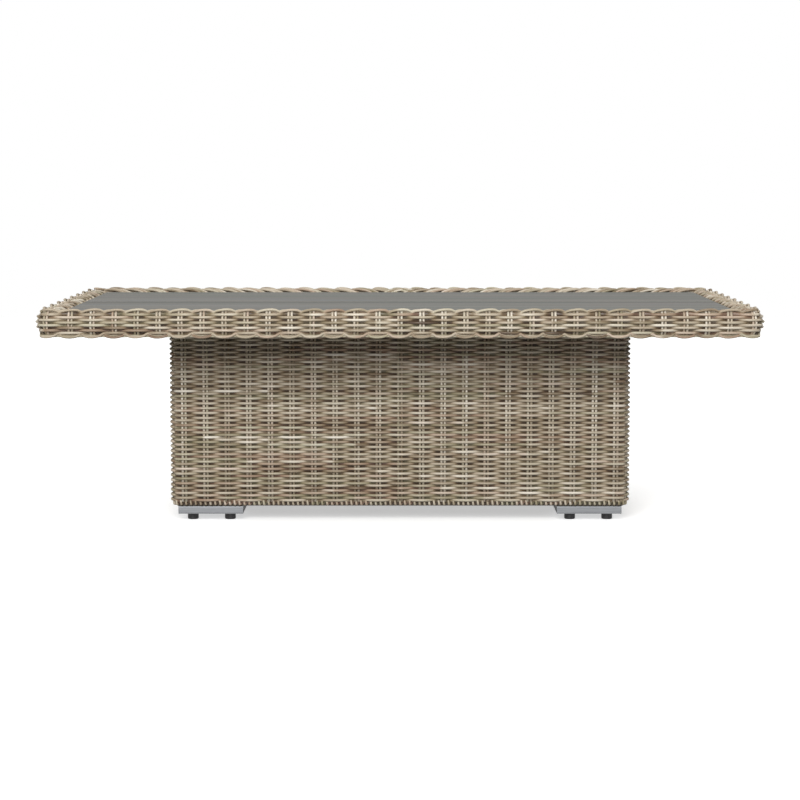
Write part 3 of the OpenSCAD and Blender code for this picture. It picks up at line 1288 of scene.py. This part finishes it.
@dataclass
class Studio:
    """A pale floor, soft white light and the camera."""

    camera_place: tuple[float, float, float] = (0.0, -4.848, 0.7138)
    camera_down_deg: float = 5.754
    lens_mm: float = 105.46
    sensor_mm: float = 36.0
    light_aim: tuple[float, float, float] = (0.0, 0.0, 0.3)
    floor_size: float = 12.0
    floor_colour: str = "#F6F6F5"
    floor_glow: float = 0.5
    sky_strength: float = 0.28

    def build(self) -> None:
        """Build the floor, the lights and the camera."""
        self.build_floor()
        self.build_sky()
        self.add_area("front_softbox", (-0.6, -5.4, 2.7), 2.6, 262.0)
        self.add_area("ceiling_softbox", (0.0, 0.5, 5.5), 20.0, 780.0)
        self.build_camera()

    def build_floor(self) -> None:
        """Build the floor at the height of the glides' undersides."""
        low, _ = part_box("glide_pad_1")
        half = self.floor_size / 2
        corners = [(-half, -half, low.z), (half, -half, low.z), (half, half, low.z), (-half, half, low.z)]
        mesh = bpy.data.meshes.new("floor")
        mesh.from_pydata(corners, [], [(0, 1, 2, 3)])
        material, _, shader = new_material("matt_white_floor")
        shader.inputs["Base Color"].default_value = linear(self.floor_colour)
        shader.inputs["Roughness"].default_value = 0.9
        # The floor glows like white acrylic lit from below, which thins out the shadows
        shader.inputs["Emission Color"].default_value = (1.0, 1.0, 1.0, 1.0)
        shader.inputs["Emission Strength"].default_value = self.floor_glow
        mesh.materials.append(material)
        floor = bpy.data.objects.new("floor", mesh)
        bpy.context.scene.collection.objects.link(floor)
        # The floor throws no light back up into the weave
        floor.visible_diffuse = False

    def build_sky(self) -> None:
        """Light the scene dimly and evenly from all round, with a white wall behind for the camera."""
        world = bpy.data.worlds.new("studio")
        world.use_nodes = True
        tree = world.node_tree
        background = tree.nodes["Background"]
        background.inputs["Color"].default_value = (1.0, 1.0, 1.0, 1.0)
        seen = add_node(tree, "ShaderNodeLightPath").outputs["Is Camera Ray"]
        strength = remap(tree, seen, (0.0, 1.0), (self.sky_strength, 1.0))
        tree.links.new(strength, background.inputs["Strength"])
        bpy.context.scene.world = world
        bpy.context.scene.view_settings.view_transform = "Standard"

    def add_area(
        self, name: str, place: tuple[float, float, float], size: float, power: float
    ) -> None:
        """Add a square softbox that faces the table.

        Args:
            name: the light's name.
            place: where it stands.
            size: its side.
            power: its power in watts.
        """
        light = bpy.data.lights.new(name, "AREA")
        light.size = size
        light.energy = power
        lamp = bpy.data.objects.new(name, light)
        lamp.location = place
        aim = Vector(self.light_aim) - Vector(place)
        lamp.rotation_euler = aim.to_track_quat("-Z", "Y").to_euler()
        bpy.context.scene.collection.objects.link(lamp)

    def build_camera(self) -> None:
        """Place the camera in front of the table, a little above it and tipped down."""
        data = bpy.data.cameras.new("camera")
        data.lens = self.lens_mm
        data.sensor_width = self.sensor_mm
        camera = bpy.data.objects.new("camera", data)
        camera.location = self.camera_place
        camera.rotation_euler = (math.radians(90.0 - self.camera_down_deg), 0.0, 0.0)
        bpy.context.scene.collection.objects.link(camera)
        bpy.context.scene.camera = camera


def main() -> None:
    """Build the table's looks in order."""
    logging.basicConfig(level=logging.INFO, format="%(name)s: %(message)s")
    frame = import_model()
    wicker = WickerFinish().make()
    WovenBase(wicker).build()
    WovenRim(wicker).build()
    slots = {part["node"]: part["material_slot"] for part in frame["record"]["subparts"]}
    finishes = {
        "wicker": wicker,
        "wood_effect_board": BoardFinish().make(),
        "foot_aluminium": FOOT_ALUMINIUM.make(),
        "coated_frame": COATED_TUBE.make(),
        "pad_plastic": MOULDED_PAD.make(),
        "zinc_steel": ZINC_STEEL.make(),
    }
    PlainParts(frame["nodes"], slots).dress(finishes)
    Studio().build()
    bpy.context.view_layer.update()


if __name__ == "__main__":
    main()
